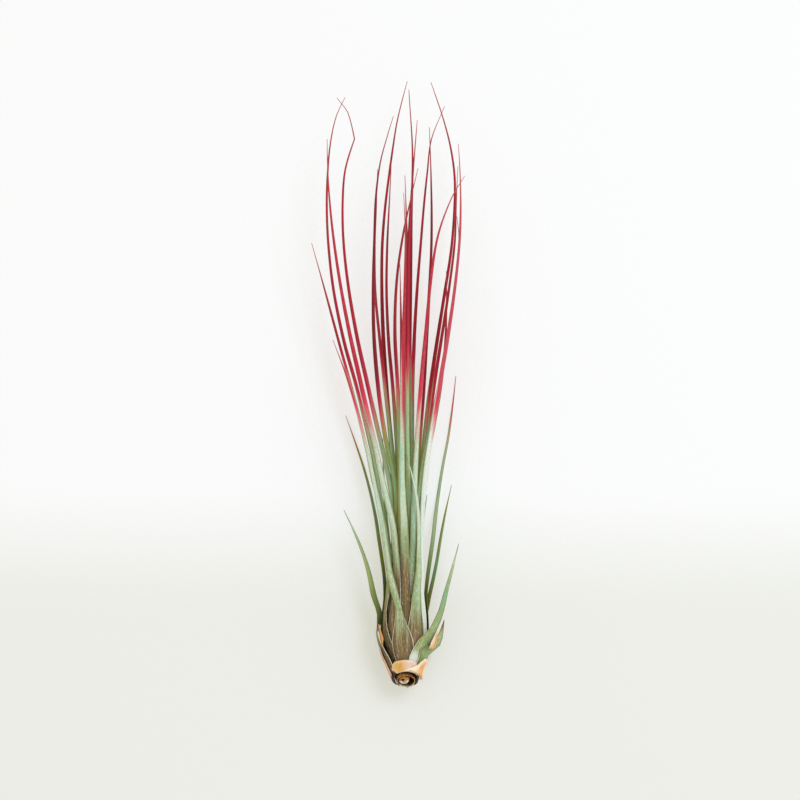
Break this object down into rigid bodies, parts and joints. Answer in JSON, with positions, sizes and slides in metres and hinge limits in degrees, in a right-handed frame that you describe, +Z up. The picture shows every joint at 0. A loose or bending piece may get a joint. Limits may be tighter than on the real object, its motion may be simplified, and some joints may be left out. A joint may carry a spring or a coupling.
{
  "type": "tillandsia juncea",
  "caption": "Bare-rooted rush-leaved air plant lying on its side: clasping sheaths round a cut stem, channelled blades tapering to needle tips, dry basal scales.",
  "frame": {"origin": "middle of the plant's box, on the surface that it lies on", "axes": "+Z up, +Y along the plant from the cut stem to the leaf tips, +X to the plant's right seen from above"},
  "size_m": [0.0776, 0.3184, 0.0433],
  "materials": {
    "green_leaf": "matt green leaf under silver scales",
    "red_leaf": "satin leaf, green below and crimson above",
    "dry_sheath": "dry papery leaf base",
    "cut_stem": "rough cut pith"
  },
  "bodies": {
    "root": {"dry_sheath_front": "dry_sheath", "dry_sheath_left": "dry_sheath", "dry_sheath_right": "dry_sheath", "dry_sheath_underside": "dry_sheath", "dry_tip_left": "dry_sheath", "dry_tip_low_right": "dry_sheath", "dry_tip_right": "dry_sheath", "leaf_01_underside_belly": "green_leaf", "leaf_02_right_stub": "green_leaf", "leaf_03_right_low": "green_leaf", "leaf_04_left_low": "green_leaf", "leaf_05_front_left": "green_leaf", "leaf_06_underside_right": "green_leaf", "leaf_07_front_right": "green_leaf", "leaf_08_left_dark": "green_leaf", "leaf_09_right_dark": "green_leaf", "leaf_10_right_slim": "green_leaf", "leaf_11_left_outermost": "red_leaf", "leaf_12_underside_left": "green_leaf", "leaf_13_right_broad": "red_leaf", "leaf_14_left_broad": "red_leaf", "leaf_15_middle_broad": "red_leaf", "leaf_16_left_bowed": "red_leaf", "leaf_17_right_hooked": "red_leaf", "leaf_18_right_arched": "red_leaf", "leaf_19_left_dark_tall": "red_leaf", "leaf_20_underside_middle": "red_leaf", "leaf_21_right_pair": "red_leaf", "leaf_22_left_kinked": "red_leaf", "leaf_23_tallest": "red_leaf", "leaf_24_right_leaning": "red_leaf", "leaf_25_middle_bowed": "red_leaf", "leaf_26_right_upright": "red_leaf", "leaf_27_left_slim": "red_leaf", "leaf_28_middle_right": "red_leaf", "leaf_29_left_paired": "red_leaf", "leaf_30_right_short": "red_leaf", "leaf_31_right_inner": "red_leaf", "leaf_32_middle_tall": "red_leaf", "leaf_33_middle_left": "red_leaf", "leaf_34_middle_short": "red_leaf", "stem": "cut_stem", "stem_collar": "dry_sheath"}
  },
  "joints": []
}
